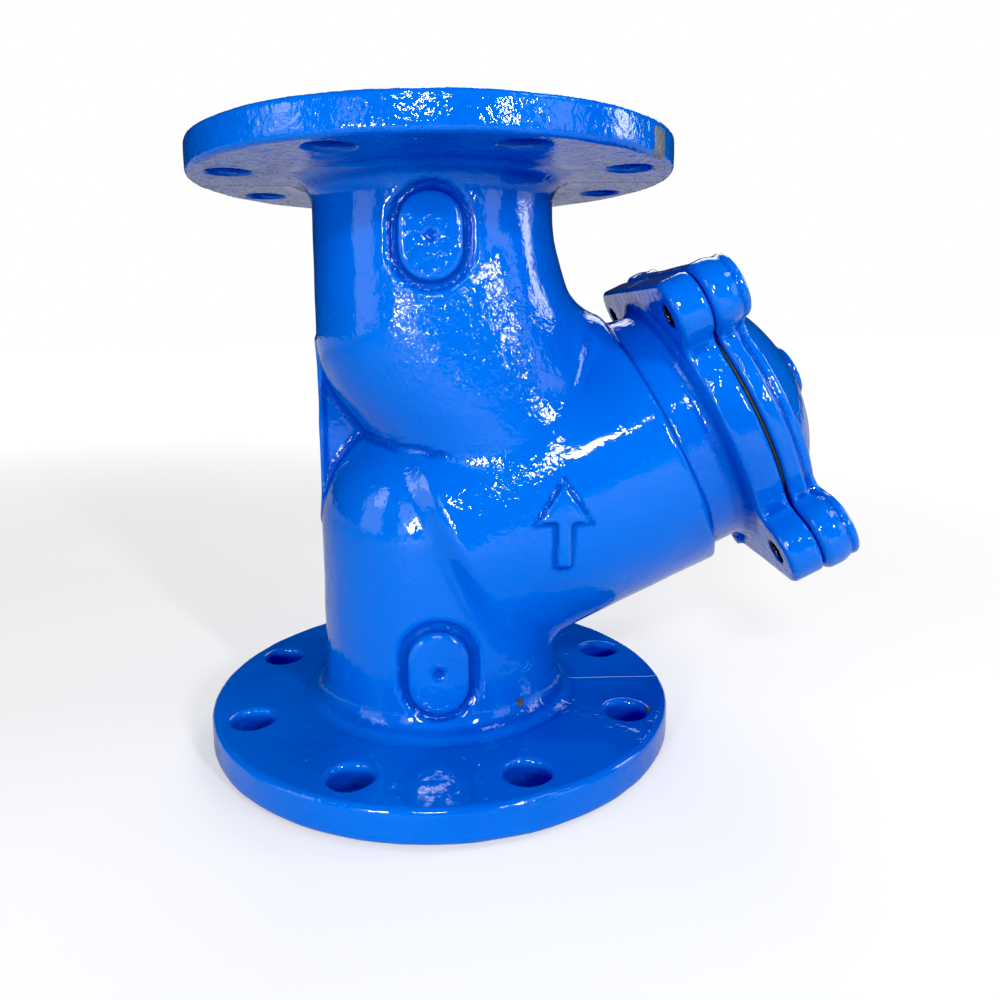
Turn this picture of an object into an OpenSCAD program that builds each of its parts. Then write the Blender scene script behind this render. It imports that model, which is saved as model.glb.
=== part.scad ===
// Flanged Y strainer, DN100, standing on its inlet flange.
// Millimetres. Origin: centre of the inlet's raised face. +Z: along the pipe, inlet to outlet.
// +X: the side that the screen branch leans to. The model is mirror-symmetric in Y.

/* [Pipe flanges] */
// Face to face length of the strainer
face_to_face = 270; // [262:1:300]
// Outside diameter of each pipe flange
flange_od = 215; // [210:1:225]
// Thickness of the flange rim, without its raised face
flange_t = 14.5; // [12:0.5:19]
// Diameter of the raised sealing face
raised_d = 156; // [148:1:158]
// Height of the raised sealing face
raised_h = 2; // [1:0.5:3]
// Bolt circle diameter
pcd = 180; // [178:1:184]
// Number of bolt holes in each pipe flange
bolt_count = 8; // [4:4:8]
// Diameter of a bolt hole
bolt_hole_d = 19; // [17:0.5:20]
// Radius of the rounding on the flange rims
rim_round = 2; // [1:0.25:3]
// Radius of the fillet between flange and pipe
neck_fillet = 11; // [8:1:14]

/* [Body walls] */
// Outside radius of the two pipe stubs
pipe_r = 54.5; // [53:0.5:56]
// Radius of the flow bore
bore_r = 49; // [46:0.5:50]
// Height at which the inlet passage closes over, as a dome
inlet_dome_z = 97; // [94:1:99]
// Height at which the outlet passage turns towards the branch
outlet_bend_z = 187; // [184:1:190]
// Fall of the outlet passage after its bend, below level
outlet_fall = 51.5; // [49:0.5:54]
// Thickness of the web that fills the notch behind the two passages
web_t = 10; // [6:1:14]

/* [Side pads] */
// Width of the pads on the stubs
pad_w = 26; // [22:1:33]
// Height of the pads
pad_h = 35.5; // [30:0.5:43]
// Distance of a pad's middle from the nearer flange face
pad_spacing = 45; // [43:0.5:48]
// Distance of a pad's flat from the pipe axis
pad_out = 57.5; // [57:0.25:59]

/* [Screen branch] */
// Lean of the branch above level
branch_angle = 25.5; // [24:0.5:27]
// Height at which the branch axis leaves the pipe axis
branch_root_z = 86.85; // [85:0.25:89]
// Outside radius of the screen chamber
chamber_r = 61.5; // [60:0.5:63]
// Inside radius of the screen chamber
chamber_bore_r = 54.5; // [53:0.5:55]
// Outside radius of the neck under the cover flange
neck_r = 56.5; // [56:0.25:58]
// Inside radius of that neck
neck_bore_r = 50.3; // [50:0.1:51]
// Distance from the pipe axis to the back of the cover flange, along the branch
branch_length = 130.8; // [129:0.2:134]
// Length of the neck under the cover flange
neck_length = 18.4; // [16:0.2:20]
// Distance from the pipe axis to the start of the screen chamber
seat_at = 10; // [9:0.5:11]
// Thickness of the wall that carries the screen seat
seat_wall = 8; // [7:0.5:9]

/* [Cover joint] */
// Thickness of the cover flange on the body
cover_flange_t = 13.5; // [12:0.5:15]
// Half the spacing of the cover screws, the same both ways
screw_half_pitch = 54.3; // [53:0.1:55]
// Radius of the ears round the screws
ear_r = 14; // [13:0.5:15]
// Radius of the flange at its two waists
waist_r = 64.5; // [63:0.5:66]
// Thickness of the gasket
gasket_t = 1.7; // [1:0.1:3]
// Height of the cover ears
cover_ear_h = 14.8; // [14:0.1:17]
// Height of the lower step of the cover plate
cover_step_h = 7.5; // [6:0.5:9]
// Height of the whole cover plate
cover_plate_h = 13.3; // [12:0.1:14]
// Height of the top of the dome above the gasket
dome_rise = 35.8; // [33:0.2:38]
// Radius of the dome's sphere
dome_r = 75; // [70:1:80]
// Wall thickness of the dome
dome_wall = 8; // [6:0.5:9]

/* [Cover screws] */
// Thread diameter of a cover screw
screw_d = 9.9; // [9.8:0.05:9.95]
// Diameter of the low cylindrical head
head_d = 16; // [15:0.5:16]
// Height of the head
head_h = 7; // [6:0.5:7]
// Length of the screw under its head
screw_length = 20; // [18:1:22]
// Key size of the hex sockets
socket_key = 7; // [6:1:8]
// Height of a spring washer
washer_h = 2.2; // [2:0.1:2.5]

/* [Screen] */
// Outside radius of the perforated tube
screen_r = 45.6; // [44:0.1:45.8]
// Thickness of the perforated sheet
sheet_t = 1; // [0.8:0.1:1.2]
// Thickness of the woven lining
lining_t = 0.5; // [0.4:0.1:0.8]
// Height of the two end bands
band_h = 10; // [8:1:14]
// Diameter of one hole in the sheet
hole_d = 5; // [4:0.5:6]
// Rows of holes along the tube
hole_rows = 9; // [6:1:10]
// Holes round the tube in one row
holes_per_row = 24; // [16:2:28]

/* [Drain plug] */
// Thread diameter of the plug
plug_d = 20.7; // [20.6:0.05:20.75]
// Diameter of its collar
collar_d = 25; // [25:0.5:26]
// Height of its collar
collar_h = 3.5; // [3:0.5:4]
// Length of the thread under the collar
plug_length = 13; // [12:1:14]
// Key size of its socket
plug_key = 10; // [8:1:12]
// Thickness of its sealing ring
seal_t = 1; // [0.8:0.1:1.5]

/* [Hidden] */
$fn = 96;

blue = [0.0, 0.36, 0.86];
steel = [0.72, 0.73, 0.75];
zinc = [0.80, 0.81, 0.83];
black = [0.06, 0.06, 0.07];
copper = [0.78, 0.42, 0.28];

// Planes across the branch, measured along its axis from the pipe axis
flange_face_at = branch_length + cover_flange_t;
cover_at = flange_face_at + gasket_t;
chamber_at = seat_at + seat_wall;
neck_at = branch_length - neck_length;
ear_top_at = cover_at + cover_ear_h;
dome_centre_at = cover_at + dome_rise - dome_r;
// The screen stands in a register in its seat and ends just under the cover's spigot
register_depth = 3;
screen_bottom_at = chamber_at - register_depth;
spigot_h = 6.2;
end_play = 0.2;
screen_top_at = cover_at - spigot_h - end_play;
screen_h = screen_top_at - screen_bottom_at;
band_r = screen_r + 1.2;
// Radius of the way through the seat, and of the cover's hollow
seat_bore_r = screen_r - sheet_t - lining_t - 2;
cover_hollow_r = 46;
// The wall between the two passages lies level, from the notch to the seat wall
partition_z = 136.5;
partition_t = 6.5;
// Screw holes: a clearance hole and a counterbore in the cover, a tapped hole in the body
clearance_d = 11;
counterbore_d = 17.5;
head_sunk = 0.3;
counterbore_depth = head_h + washer_h + head_sunk;
washer_at = ear_top_at - counterbore_depth;
thread_gap = 0.1;
// Seat of the drain plug, on a boss inside the dome
plug_seat_at = cover_at + 34.1;
plug_boss_h = 16;
plug_boss_r = 16;
// How far the outlet's wall and its bore run down towards the branch
outlet_reach = 62;
outlet_bore_reach = 40;
// How far the bore through the seat runs back into the inlet passage
seat_bore_run = 30;
// Fillet between the branch's neck and the cover flange
joint_fillet = 7;
// How far the cover's upper step stands in from its rim
cover_step_in = 2.5;
// Depths of the hexagon sockets
screw_key_depth = 4;
plug_key_depth = 8;
// Slack each side of the plug's sealing ring
seal_gap = 0.01;
eps = 0.02;
ball_gap = 0.35;

// Places of the four ears: 1 upper front, 2 upper back, 3 lower back, 4 lower front
function ear_x(i) = (i < 3 ? -1 : 1) * screw_half_pitch;
function ear_y(i) = (i == 1 || i == 4 ? -1 : 1) * screw_half_pitch;

// Puts a shape on the branch: local Z runs out along the branch, local -X is its upper side
module on_branch(at = 0) {
  translate([0, 0, branch_root_z])
    rotate([0, 90 - branch_angle, 0])
      translate([0, 0, at])
        children();
}

module at_ear(i, at = 0) {
  on_branch(at) translate([ear_x(i), ear_y(i), 0]) children();
}

module tube(outer_r, inner_r, h) {
  difference() {
    cylinder(r = outer_r, h = h);
    translate([0, 0, -1]) cylinder(r = inner_r, h = h + 2);
  }
}

// Half section of a disc whose two rim edges are rounded
module disc_profile(r, h, edge) {
  square([r - edge, h]);
  translate([0, edge]) square([r, h - 2 * edge]);
  for (z = [edge, h - edge]) translate([r - edge, z]) circle(r = edge, $fn = 32);
}

// Half section of the fillet between a stub of radius r and the face under it
module fillet_profile(r, fillet) {
  difference() {
    translate([r - 1, -1]) square([fillet + 1, fillet + 1]);
    translate([r + fillet, fillet]) circle(r = fillet);
  }
}

// A pipe flange with its raised face down, and the fillet up to the stub
module pipe_flange() {
  rotate_extrude() {
    square([raised_d / 2, raised_h + 1]);
    translate([0, raised_h]) disc_profile(flange_od / 2, flange_t, rim_round);
    translate([0, raised_h + flange_t]) fillet_profile(pipe_r, neck_fillet);
  }
}

module bolt_holes() {
  for (i = [0:bolt_count - 1])
    rotate([0, 0, (i + 0.5) * 360 / bolt_count])
      translate([pcd / 2, 0, -1])
        cylinder(d = bolt_hole_d, h = raised_h + flange_t + 2);
}

// Both passages as solids: outside walls with r = pipe_r, flow space with r = bore_r.
// Each ball is a little smaller than its tube, so that the two never merely touch
module inlet_passage(r, start) {
  translate([0, 0, start]) cylinder(r = r, h = inlet_dome_z - start);
  translate([0, 0, inlet_dome_z]) sphere(r = r - ball_gap);
}

module outlet_passage(r, end, reach) {
  overlap = 8;
  translate([0, 0, outlet_bend_z]) {
    translate([0, 0, -overlap]) cylinder(r = r, h = end - outlet_bend_z + overlap);
    sphere(r = r - ball_gap);
    rotate([0, 90 + outlet_fall, 0]) cylinder(r = r, h = reach);
  }
}

// The thin wall that closes the notch between the two passages on the side away from the branch
module notch_web() {
  hidden_x = -30;
  translate([0, web_t / 2, 0])
    rotate([90, 0, 0])
      linear_extrude(web_t)
        polygon([[-pipe_r, inlet_dome_z], [hidden_x, inlet_dome_z],
                 [hidden_x, outlet_bend_z], [-pipe_r, outlet_bend_z]]);
}

// A flat pad with half-round ends for a plug or tapping, on the side of a stub
function oval_points(w, h) = concat(
  [for (a = [0:15:180]) [w / 2 * cos(a), (h - w) / 2 + w / 2 * sin(a)]],
  [for (a = [180:15:360]) [w / 2 * cos(a), -(h - w) / 2 + w / 2 * sin(a)]]);

module side_pad() {
  root = pipe_r - 4.5;
  dimple_depth = 1.5;
  rotate([90, 0, 0])
    difference() {
      translate([0, 0, root]) linear_extrude(pad_out - root) polygon(oval_points(pad_w, pad_h));
      translate([0, 0, pad_out - dimple_depth])
        cylinder(r1 = 0.5, r2 = 3.5, h = dimple_depth + 0.1, $fn = 32);
    }
}

// Outline shared by the body's cover flange and the cover: a disc, a block and four ears
module joint_outline() {
  circle(r = waist_r);
  square([2 * (screw_half_pitch + ear_r), 2 * screw_half_pitch], center = true);
  for (i = [1:4]) translate([ear_x(i), ear_y(i)]) circle(r = ear_r);
}

// The stub of the casting's gate, left at the back of the cover flange
module gate_stub() {
  gate_r = 5;
  gate_proud = 2.5;
  on_branch(branch_length - gate_proud)
    translate([neck_r + gate_r, 0, 0]) cylinder(r = gate_r, h = gate_proud + 1.5);
}

module screen_chamber() {
  on_branch(seat_at) cylinder(r = chamber_r, h = neck_at - seat_at);
  on_branch(neck_at - 1) cylinder(r = neck_r, h = neck_length + 1 + eps);
  on_branch(branch_length) {
    linear_extrude(cover_flange_t) joint_outline();
    mirror([0, 0, 1]) rotate_extrude() fillet_profile(neck_r, joint_fillet);
  }
}

// Flow space below the partition: the inlet bore, up to the seat wall and the chamber's wall
module inlet_space() {
  difference() {
    inlet_passage(bore_r, -1);
    on_branch(seat_at + 0.5) cylinder(r = chamber_r - 0.5, h = branch_length);
    translate([-100, -100, partition_z]) cube([200, 200, 100]);
  }
}

// Flow space above the partition: the chamber round the screen, and the way to the outlet
module outlet_space() {
  difference() {
    union() {
      translate([0, 0, outlet_bend_z - 10])
        cylinder(r = bore_r, h = face_to_face - outlet_bend_z + 11);
      translate([0, 0, outlet_bend_z])
        rotate([0, 90 + outlet_fall, 0]) cylinder(r = bore_r - 1.5, h = outlet_bore_reach);
    }
    translate([-100, -100, 0]) cube([200, 200, partition_z + partition_t]);
  }
  on_branch(chamber_at) cylinder(r = chamber_bore_r, h = neck_at - chamber_at + 2);
  on_branch(neck_at) cylinder(r = neck_bore_r, h = branch_length);
}

module body() {
  color(blue)
    difference() {
      union() {
        pipe_flange();
        translate([0, 0, face_to_face]) mirror([0, 0, 1]) pipe_flange();
        inlet_passage(pipe_r, raised_h);
        outlet_passage(pipe_r, face_to_face - raised_h, outlet_reach);
        notch_web();
        screen_chamber();
        for (z = [pad_spacing, face_to_face - pad_spacing], side = [0, 180])
          translate([0, 0, z]) rotate([0, 0, side]) side_pad();
        gate_stub();
      }
      inlet_space();
      outlet_space();
      on_branch(screen_bottom_at)
        cylinder(r = band_r + 0.4, h = register_depth + 1);
      on_branch(seat_at - seat_bore_run) cylinder(r = seat_bore_r, h = seat_bore_run + 20);
      for (z = [0, face_to_face - flange_t - raised_h]) translate([0, 0, z]) bolt_holes();
      for (i = [1:4])
        at_ear(i, branch_length - 1)
          cylinder(d = screw_d + 2 * thread_gap, h = cover_flange_t + 2, $fn = 48);
    }
}

module cover() {
  color(blue)
    difference() {
      union() {
        on_branch(cover_at) linear_extrude(cover_step_h) joint_outline();
        on_branch(cover_at) cylinder(r = waist_r - cover_step_in, h = cover_plate_h);
        on_branch(cover_at)
          translate([0, 0, cover_plate_h / 2])
            cube([2 * (screw_half_pitch + ear_r - cover_step_in),
                  2 * (screw_half_pitch - cover_step_in), cover_plate_h], center = true);
        for (i = [1:4]) at_ear(i, cover_at) cylinder(r = ear_r, h = cover_ear_h);
        intersection() {
          on_branch(dome_centre_at) sphere(r = dome_r);
          on_branch(cover_at) cylinder(r = cover_hollow_r + 10, h = dome_rise + 1);
        }
        on_branch(cover_at - spigot_h) cylinder(r = neck_bore_r - 0.5, h = spigot_h + 1);
      }
      difference() {
        intersection() {
          on_branch(dome_centre_at) sphere(r = dome_r - dome_wall);
          on_branch(cover_at - spigot_h - 1) cylinder(r = cover_hollow_r, h = dome_rise + 10);
        }
        on_branch(plug_seat_at - plug_boss_h) cylinder(r = plug_boss_r, h = plug_boss_h);
      }
      on_branch(plug_seat_at - plug_boss_h - 1)
        cylinder(d = plug_d + 2 * thread_gap, h = plug_boss_h + 10);
      on_branch(plug_seat_at) cylinder(d = collar_d + 1, h = 10);
      for (i = [1:4]) {
        at_ear(i, cover_at - 1) cylinder(d = clearance_d, h = cover_ear_h + 2, $fn = 48);
        at_ear(i, washer_at) cylinder(d = counterbore_d, h = counterbore_depth + 1, $fn = 64);
      }
    }
}

module cover_gasket() {
  color(black)
    on_branch(flange_face_at) tube(waist_r - 2, neck_bore_r + 0.2, gasket_t);
}

// The perforated sheet, rolled into a tube, with staggered rows of holes between its bands
module screen_tube() {
  row_pitch = (screen_h - 2 * band_h - hole_d) / hole_rows;
  color(steel)
    on_branch(screen_bottom_at)
      difference() {
        tube(screen_r, screen_r - sheet_t, screen_h);
        for (row = [0:hole_rows - 1], k = [0:holes_per_row - 1])
          translate([0, 0, band_h + hole_d / 2 + (row + 0.5) * row_pitch])
            rotate([0, 0, (k + 0.5 + (row % 2) / 2) * 360 / holes_per_row])
              translate([screen_r - sheet_t - 2, 0, 0])
                rotate([0, 90, 0]) cylinder(d = hole_d, h = sheet_t + 4, $fn = 24);
      }
}

module screen_lining() {
  color(zinc)
    on_branch(screen_bottom_at)
      tube(screen_r - sheet_t, screen_r - sheet_t - lining_t, screen_h);
}

module end_band(at) {
  color(steel) on_branch(at) tube(band_r, screen_r, band_h);
}

module screen_seat_band() { end_band(screen_bottom_at); }

module screen_cover_band() { end_band(screen_top_at - band_h); }

// The strip that covers the joint where the sheet's two edges meet
module screen_seam_strip() {
  strip_w = 5;
  strip_t = 0.8;
  color(steel)
    on_branch(screen_bottom_at + band_h)
      intersection() {
        tube(screen_r + strip_t, screen_r, screen_h - 2 * band_h);
        translate([0, -strip_w / 2, 0]) cube([screen_r + 2, strip_w, screen_h]);
      }
}

// Low-head socket screw; its head stands on the washer
module cover_screw(i) {
  color(zinc)
    at_ear(i, washer_at + washer_h)
      difference() {
        union() {
          cylinder(d = head_d, h = head_h, $fn = 64);
          translate([0, 0, -screw_length]) cylinder(d = screw_d, h = screw_length + 1, $fn = 48);
        }
        translate([0, 0, head_h - screw_key_depth])
          cylinder(d = socket_key / cos(30), h = screw_key_depth + 1, $fn = 6);
      }
}

// A split ring: the cut goes through on one side
module spring_washer(i) {
  washer_r = 7.95;
  washer_bore_r = 5.3;
  cut_w = 1.2;
  color(zinc)
    at_ear(i, washer_at)
      difference() {
        tube(washer_r, washer_bore_r, washer_h);
        translate([0, -cut_w / 2, -1]) cube([washer_r + 1, cut_w, washer_h + 2]);
      }
}

module drain_plug() {
  color(blue)
    on_branch(plug_seat_at + seal_t)
      difference() {
        union() {
          rotate_extrude() disc_profile(collar_d / 2, collar_h, 0.75);
          translate([0, 0, -plug_length]) cylinder(d = plug_d, h = plug_length + 1);
        }
        translate([0, 0, collar_h - plug_key_depth])
          cylinder(d = plug_key / cos(30), h = plug_key_depth + 1, $fn = 6);
      }
}

module plug_seal() {
  color(copper)
    on_branch(plug_seat_at + seal_gap)
      tube(collar_d / 2 - 0.3, plug_d / 2 + 0.3, seal_t - 2 * seal_gap);
}

body();
cover();
cover_gasket();
screen_tube();
screen_lining();
screen_seat_band();
screen_cover_band();
screen_seam_strip();
cover_screw(1);  // cover_screw_1
cover_screw(2);  // cover_screw_2
cover_screw(3);  // cover_screw_3
cover_screw(4);  // cover_screw_4
spring_washer(1);  // spring_washer_1
spring_washer(2);  // spring_washer_2
spring_washer(3);  // spring_washer_3
spring_washer(4);  // spring_washer_4
drain_plug();
plug_seal();
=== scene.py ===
"""A flanged DN100 Y strainer: two painted castings, a stainless screen and plated screws.

The castings are modelled as distance fields in millimetres, blended with real fillets, meshed once
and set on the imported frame. Turned, rolled and woven pieces are built point by point.
"""
import math

import bmesh
import bpy
import numpy as np
import openvdb
from mathutils import Euler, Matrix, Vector


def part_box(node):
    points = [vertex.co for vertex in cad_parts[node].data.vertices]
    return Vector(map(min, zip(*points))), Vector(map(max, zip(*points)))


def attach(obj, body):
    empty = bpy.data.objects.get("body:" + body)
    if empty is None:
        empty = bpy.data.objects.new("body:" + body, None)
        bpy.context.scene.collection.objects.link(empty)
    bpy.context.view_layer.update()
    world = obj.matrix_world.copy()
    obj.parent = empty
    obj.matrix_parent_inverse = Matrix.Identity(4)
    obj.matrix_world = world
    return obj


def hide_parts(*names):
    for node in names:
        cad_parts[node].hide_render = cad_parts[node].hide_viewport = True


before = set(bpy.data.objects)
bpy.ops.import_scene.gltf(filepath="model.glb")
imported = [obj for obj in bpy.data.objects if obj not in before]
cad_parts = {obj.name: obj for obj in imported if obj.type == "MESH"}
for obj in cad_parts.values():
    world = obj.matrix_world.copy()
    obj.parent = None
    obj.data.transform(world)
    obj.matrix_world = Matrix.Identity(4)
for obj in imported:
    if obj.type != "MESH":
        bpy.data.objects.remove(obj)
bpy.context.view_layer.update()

MM = 0.001

# Driving sizes in millimetres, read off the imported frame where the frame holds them
body_low, body_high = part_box("body")
FACE_TO_FACE = (body_high.z - body_low.z) / MM
FLANGE_R = body_high.y / MM
FLANGE_T = 14.5
RAISED_H = 2.0
RAISED_R = 78.0
BOLT_CIRCLE_R = 90.0
BOLT_HOLE_R = 9.5
BOLT_COUNT = 8
STUB_R = 54.5
BORE_R = 49.0
INLET_DOME_Z = 97.0
OUTLET_BEND_Z = 187.0
OUTLET_FALL = math.radians(51.5)
PARTITION = (136.5, 143.0)

# The screen branch: t runs out along its axis, u is its upper side, v is the frame's Y
LEAN = math.radians(25.5)
ROOT_Z = 86.85
CHAMBER_R = 61.5
CHAMBER_BORE_R = 54.5
NECK_R = 56.5
NECK_BORE_R = 50.3
SEAT_T = 10.0
SEAT_POCKET_R = 47.2
SEAT_OPENING_R = 42.1
CHAMBER_T = 18.0
STEP_T = 112.4
FLANGE_BACK_T = 130.8
FLANGE_FACE_T = 144.3
COVER_T = 146.0
EAR = 54.3
EAR_R = 14.0
WAIST_R = 64.5

# Fillets and edges of the castings
FLANGE_FILLET = 11.0
BRANCH_FILLET = 8.0
JOINT_FILLET = 7.0
WEB_FILLET = 3.0
RIM_EDGE = 2.2
JOINT_EDGE = 1.7
FINE_EDGE = 0.8
SCREW_HOLE_R = 5.05
SCREW_CLEARANCE_R = 5.5
PLUG_HOLE_R = 10.45

# Room for the paint's waves inside the frame's own box
WAVE_ROOM = 0.45

# Far enough outside any surface to leave it alone, and past the open end of the branch
CLEAR = 50.0
PAST_END_T = 400.0

OUT = np.array([math.cos(LEAN), 0.0, math.sin(LEAN)])
UP = np.array([-math.sin(LEAN), 0.0, math.cos(LEAN)])


# ---------------------------------------------------------------- distance fields

def smooth_step(x, low, high):
    x = np.clip((x - low) / (high - low), 0.0, 1.0)
    return x * x * (3.0 - 2.0 * x)


def disc(r, axial, radius, low, high, edge):
    """A solid of revolution: radius wide from low to high, with its edges rounded."""
    side = r - (radius - edge)
    end = np.abs(axial - (low + high) / 2) - ((high - low) / 2 - edge)
    inside = np.minimum(np.maximum(side, end), 0.0)
    return inside + np.hypot(np.maximum(side, 0.0), np.maximum(end, 0.0)) - edge


def slab(outline, axial, low, high, edge):
    """A flat outline given as a distance, thickened from low to high."""
    return disc(outline, axial, 0.0, low, high, edge)


def rectangle(x, y, half_x, half_y):
    side, end = np.abs(x) - half_x, np.abs(y) - half_y
    inside = np.minimum(np.maximum(side, end), 0.0)
    return inside + np.hypot(np.maximum(side, 0.0), np.maximum(end, 0.0))


def join(a, b, fillet):
    """Union with a round fillet in the corner between the two; it stays a true depth inside both."""
    depth = np.minimum(np.minimum(a, b), 0.0)
    a, b = a - depth, b - depth
    corner = np.hypot(np.maximum(fillet - a, 0.0), np.maximum(fillet - b, 0.0))
    return np.maximum(fillet, np.minimum(a, b)) - corner + depth


def cut(a, b, edge):
    """a without b, the edge between them rounded."""
    return -join(-a, b, edge)


def branch_axes(x, z):
    """Distance along the branch and height above its axis."""
    along = x * OUT[0] + (z - ROOT_Z) * OUT[2]
    above = x * UP[0] + (z - ROOT_Z) * UP[2]
    return along, above


def rod(x, y, z, start, direction, length, radius):
    """A round-ended rod in the plane y = 0."""
    px, pz = x - start[0], z - start[1]
    h = np.clip(px * direction[0] + pz * direction[1], 0.0, length)
    return np.sqrt((px - h * direction[0]) ** 2 + y * y + (pz - h * direction[1]) ** 2) - radius


def joint_outline(u, v):
    """The cover joint's shape: a disc with two flat sides and four ears."""
    u, v = np.abs(u), np.abs(v)
    waist = join(np.hypot(u, v) - WAIST_R, rectangle(u, v, EAR + 4, EAR), 3.0)
    ears = np.hypot(u - EAR, v - EAR) - EAR_R
    return np.minimum(join(waist, ears, 6.0), rectangle(u, v, EAR + EAR_R, EAR - 1))


# The side pads, the gate stub under the joint, the web behind the branch, and the flow arrow
PAD_FLAT = 57.3
PAD_HALF_W = 13.0
PAD_STRAIGHT = 4.75
PAD_Z = 45.0
GROOVE_R = 2.8
DIMPLE_R = 3.8
GATE_U = 61.5
WEB_X, WEB_Z = -42.0, 142.0
WEB_HALF_W, WEB_HALF_H, WEB_HALF_T = 12.5, 42.0, 5.0
BEAD_X, BEAD_HALF_W, BEAD_HALF_T = -53.2, 1.2, 6.5
ARROW_X, ARROW_Z = 52.0, 104.0
ARROW_RELIEF = 1.9
FALL = (math.cos(OUTLET_FALL), -math.sin(OUTLET_FALL))


def pad_outline(x, low_z):
    """A side pad's oval; low_z is the distance from the nearer flange face."""
    return np.hypot(x, np.maximum(np.abs(low_z - PAD_Z) - PAD_STRAIGHT, 0.0)) - PAD_HALF_W


def arrow_outline(x, z):
    """The flow arrow, pointing towards the outlet."""
    shaft = rectangle(x, z, 2.6, 13.0)
    head = np.maximum(0.84 * np.abs(x) + 0.54 * (z - 22.0), 6.0 - z)
    return np.minimum(shaft, head)


def outlet_outside(x, y, z, rho):
    """The upper stub and the bend that falls from it onto the branch."""
    stub = np.hypot(rho, np.maximum(OUTLET_BEND_Z - z, 0.0)) - STUB_R
    falling = rod(x, y, z, (0.0, OUTLET_BEND_Z), FALL, 64.0, STUB_R)
    bend_fillet = 20.0 * smooth_step(x, 6.0, 42.0)
    return join(stub, falling, bend_fillet)


def branch_outside(x, y, z):
    """The screen's chamber, the neck, the cover joint and the gate stub under it."""
    t, u = branch_axes(x, z)
    around = np.hypot(u, y)
    chamber = disc(around, t, CHAMBER_R, SEAT_T, STEP_T - 20, 7.0)
    chamber = np.minimum(chamber, disc(around, t, CHAMBER_R, 50.0, STEP_T, RIM_EDGE))
    neck = disc(around, t, NECK_R, 80.0, FLANGE_FACE_T - 2, 1.0)
    branch = join(chamber, neck, 2.0)
    joint = slab(joint_outline(u, y), t, FLANGE_BACK_T, FLANGE_FACE_T, JOINT_EDGE)
    branch = join(branch, joint, JOINT_FILLET)
    gate_r, gate_edge, slit_edge = 5.0, 0.7, 0.3
    gate = np.hypot(u + GATE_U, y)
    gate = disc(gate, t, gate_r, FLANGE_BACK_T - 2.5, FLANGE_BACK_T + 3, gate_edge)
    slit = rectangle(u + GATE_U, t - FLANGE_BACK_T + 2, 0.7, 1.5)
    return join(branch, cut(gate, slit, slit_edge), FINE_EDGE)


def web_outside(x, y, z):
    """The flat web behind the two domes, with a bead along its free edge."""
    web_outline = rectangle(x - WEB_X, z - WEB_Z, WEB_HALF_W, WEB_HALF_H)
    web = slab(web_outline, y, -WEB_HALF_T, WEB_HALF_T, 1.5)
    bead_outline = rectangle(x - BEAD_X, z - WEB_Z, BEAD_HALF_W, WEB_HALF_H)
    bead = slab(bead_outline, y, -BEAD_HALF_T, BEAD_HALF_T, 1.0)
    return np.minimum(web, bead)


def with_side_pads(walls, x, y, low_z, rho):
    """The walls with four oval pads, each with a groove round it and a dimple in its middle."""
    pad = pad_outline(x, low_z)
    groove = np.hypot(pad - 2.3, rho - STUB_R - 1.0) - GROOVE_R
    on_stub = np.where(np.abs(low_z - PAD_Z) < 40.0, groove, CLEAR)
    walls = cut(walls, on_stub, FINE_EDGE)
    walls = join(walls, slab(pad, np.abs(y), STUB_R - 8.0, PAD_FLAT, 2.0), FINE_EDGE)
    dimple_out = np.abs(y) - PAD_FLAT - 2.4
    dimple = np.sqrt(x * x + (low_z - PAD_Z) ** 2 + dimple_out ** 2) - DIMPLE_R
    return cut(walls, dimple, 0.5)


def casting_outside(x, y, z):
    """Every outside wall of the body, with its fillets."""
    rho = np.hypot(x, y)
    low_z = np.minimum(z, FACE_TO_FACE - z)
    inlet = np.hypot(rho, np.maximum(z - INLET_DOME_Z, 0.0)) - STUB_R
    lower = join(inlet, branch_outside(x, y, z), BRANCH_FILLET)
    crease = 3.0 + 18.0 * smooth_step(z, 165.0, 200.0)
    walls = join(outlet_outside(x, y, z, rho), lower, crease)
    walls = join(walls, web_outside(x, y, z), WEB_FILLET)
    walls = with_side_pads(walls, x, y, low_z, rho)

    flange = disc(rho, low_z, FLANGE_R - WAVE_ROOM, RAISED_H, RAISED_H + FLANGE_T, RIM_EDGE)
    face = disc(rho, low_z, RAISED_R, 0.0, RAISED_H + 2, 0.3)
    body = join(walls, flange, FLANGE_FILLET)
    body = np.minimum(body, face)

    arrow = arrow_outline(x - ARROW_X, z - ARROW_Z)
    arrow = np.where(y < 0.0, arrow, CLEAR)
    body = join(body, np.maximum(arrow, body - ARROW_RELIEF), FINE_EDGE)
    return np.maximum(body, -low_z)


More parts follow.
